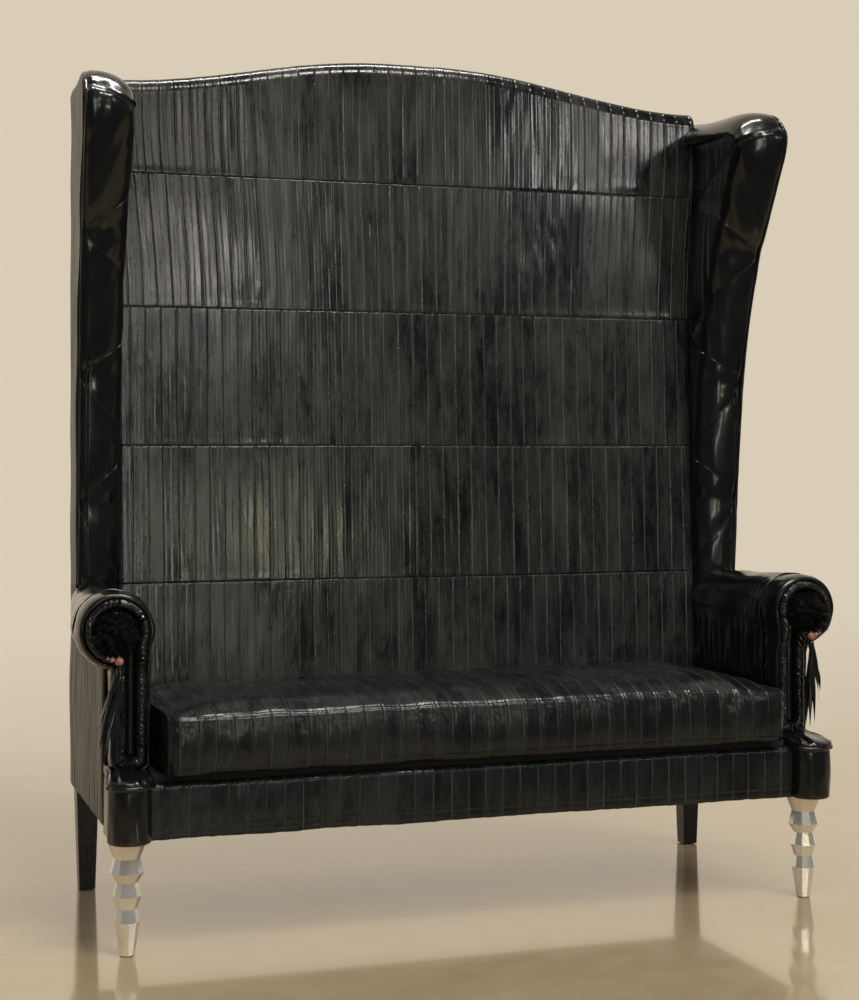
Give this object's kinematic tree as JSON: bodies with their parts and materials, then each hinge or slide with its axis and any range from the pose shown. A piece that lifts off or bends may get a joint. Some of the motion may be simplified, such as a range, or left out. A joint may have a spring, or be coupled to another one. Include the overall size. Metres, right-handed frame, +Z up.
{
  "type": "sofa",
  "caption": "Very tall wing-back sofa in black leather strips with glossy padded wings, scroll arms, fur rosettes with hanging tassels, a loose seat cushion and silver front legs.",
  "frame": {"origin": "on the floor, midway between the two sides and midway between the front of the round bases and the back of the sofa", "axes": "+Z up, -Y the way a seated person faces, +X to the right of someone who looks at the front"},
  "size_m": [1.707, 0.687, 1.918],
  "materials": {
    "timber": "sawn",
    "plywood": "sawn",
    "steel": "zinc plated",
    "webbing": "woven",
    "black_cloth": "woven",
    "foam": "open cell",
    "strip_leather": "semi-gloss, sewn from narrow strips",
    "plain_leather": "semi-gloss",
    "patent_leather": "high gloss",
    "silver_leg": "polished",
    "black_wood": "gloss paint",
    "glide": "matte",
    "fur": "long pile",
    "bead": "gloss",
    "thong": "gloss"
  },
  "bodies": {
    "sofa": {"front_rail": "timber", "rear_rail": "timber", "side_rail_left": "timber", "side_rail_right": "timber", "seat_stretchers": "timber", "corner_blocks": "timber", "corner_screws": "steel", "front_post_left": "timber", "front_post_right": "timber", "arm_board_left": "timber", "arm_board_right": "timber", "back_post_left": "timber", "back_post_right": "timber", "crest_rail": "timber", "back_rails": "timber", "wing_frame_left": "plywood", "wing_frame_right": "plywood", "seat_webbing": "webbing", "back_webbing": "webbing", "seat_deck": "black_cloth", "back_foam": "foam", "back_cover": "strip_leather", "outer_back": "plain_leather", "wing_cover_left": "patent_leather", "wing_cover_right": "patent_leather", "arm_pad_left": "patent_leather", "arm_pad_right": "patent_leather", "arm_front_left": "patent_leather", "arm_front_right": "patent_leather", "outer_side_left": "strip_leather", "outer_side_right": "strip_leather", "arm_facing_left": "patent_leather", "arm_facing_right": "patent_leather", "facing_border_left": "patent_leather", "facing_border_right": "patent_leather", "base_cover_left": "patent_leather", "base_cover_right": "patent_leather", "front_border": "strip_leather", "front_leg_left": "silver_leg", "front_leg_right": "silver_leg", "back_leg_left": "black_wood", "back_leg_right": "black_wood", "leg_plates": "steel", "leg_bolts": "steel", "glides": "glide", "rosette_left": "fur", "rosette_right": "fur", "wing_piping_left": "patent_leather", "wing_piping_right": "patent_leather", "back_piping": "patent_leather", "dust_cover": "black_cloth"},
    "seat_cushion": {"cushion_cover": "strip_leather", "cushion_core": "foam", "cushion_zip_panel": "black_cloth"},
    "bead_left_body": {"bead_left": "bead"},
    "bead_right_body": {"bead_right": "bead"},
    "tassel_left_body": {"tassel_left": "thong"},
    "tassel_right_body": {"tassel_right": "thong"}
  },
  "joints": [
    {"name": "cushion_lift", "type": "slide", "parent": "sofa", "child": "seat_cushion", "axis": [0, 0, 1], "range_m": [0, 0.4]},
    {"name": "bead_swing_left", "type": "hinge", "parent": "sofa", "child": "bead_left_body", "pos_m": [-0.776, -0.2711, 0.59652], "axis": [-1, 0, 0], "range_deg": [0, 35]},
    {"name": "tassel_swing_left", "type": "hinge", "parent": "bead_left_body", "child": "tassel_left_body", "pos_m": [-0.776, -0.2711, 0.57932], "axis": [0, 1, 0], "range_deg": [-12, 25]},
    {"name": "bead_swing_right", "type": "hinge", "parent": "sofa", "child": "bead_right_body", "pos_m": [0.776, -0.2711, 0.59652], "axis": [-1, 0, 0], "range_deg": [0, 35]},
    {"name": "tassel_swing_right", "type": "hinge", "parent": "bead_right_body", "child": "tassel_right_body", "pos_m": [0.776, -0.2711, 0.57932], "axis": [0, 1, 0], "range_deg": [-25, 12]}
  ]
}
